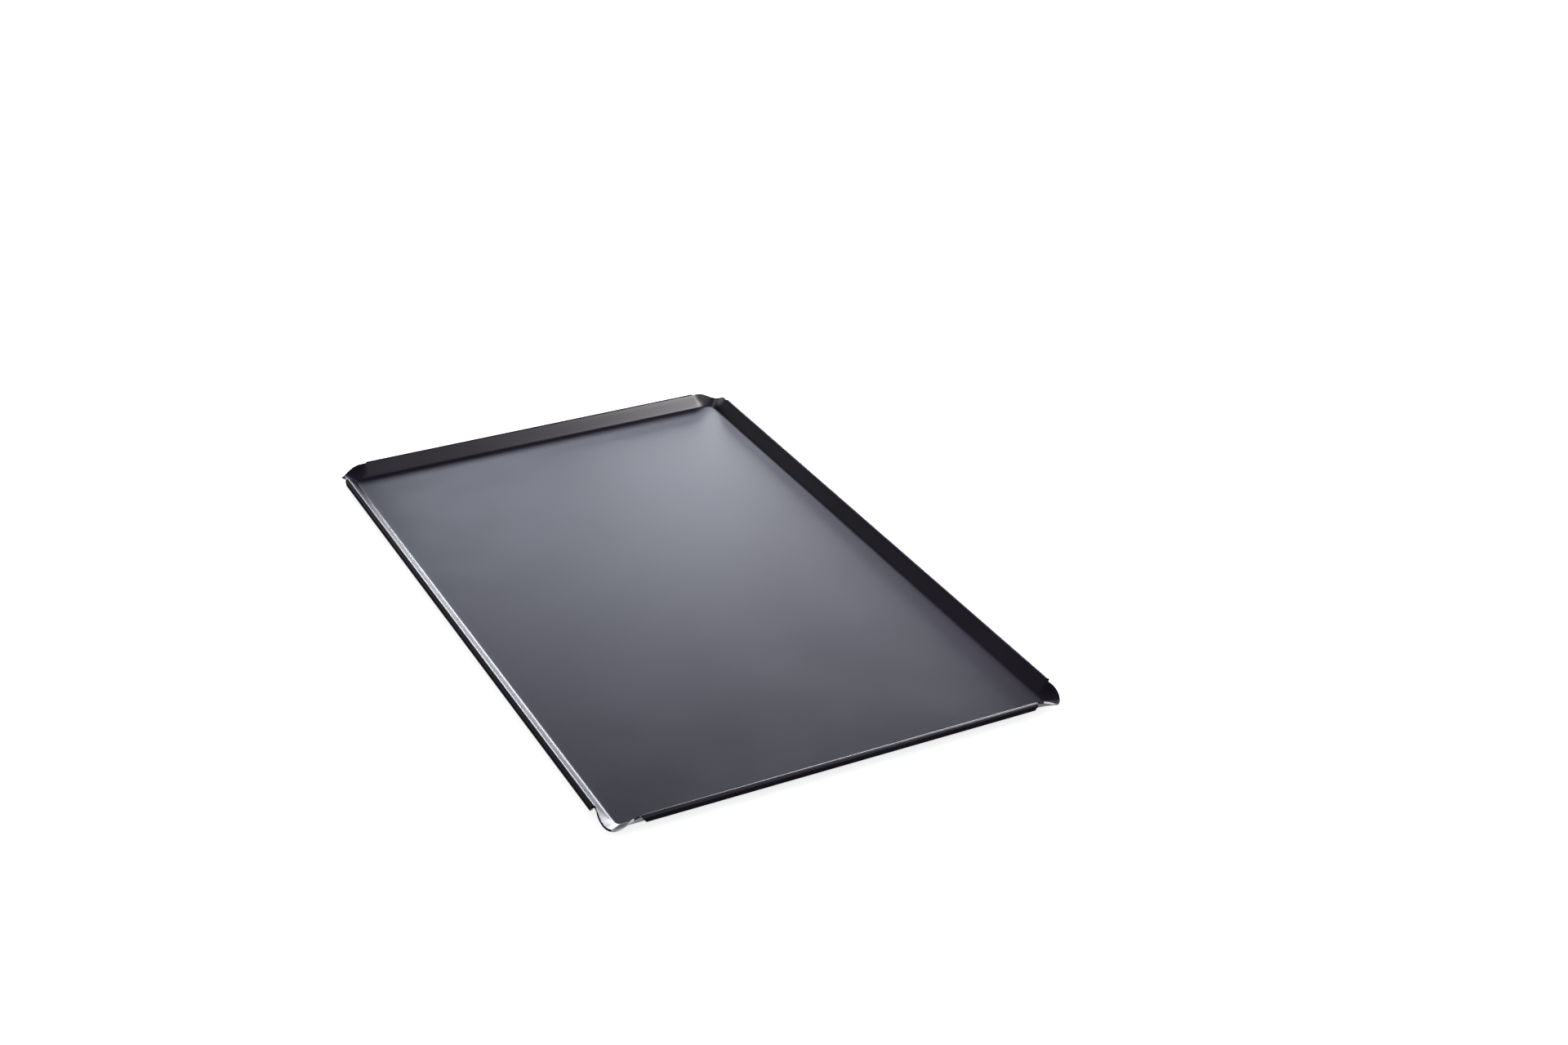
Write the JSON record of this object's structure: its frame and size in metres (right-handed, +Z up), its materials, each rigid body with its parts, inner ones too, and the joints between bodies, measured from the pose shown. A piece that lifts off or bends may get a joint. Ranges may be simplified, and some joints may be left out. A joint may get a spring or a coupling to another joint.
{
  "type": "baking sheet",
  "caption": "Shallow rectangular baking sheet of coated metal, with flared walls, rims folded over into a short lip and open pinched corners.",
  "frame": {"origin": "on the underside of the floor, at the middle of the tray", "axes": "+Z up, square to the floor; +Y along the long side; +X along the short side"},
  "size_m": [0.325, 0.53, 0.0108],
  "materials": {
    "sheet_metal": "bare rolled sheet, shows nowhere but at cut edges",
    "food_coat": "dark anthracite fluoropolymer non-stick coat, fine satin",
    "underside_coat": "dark anthracite fluoropolymer coat, satin"
  },
  "bodies": {
    "root": {"aluminium_sheet": "sheet_metal", "food_side_coating": "food_coat", "underside_coating": "underside_coat"}
  },
  "joints": []
}
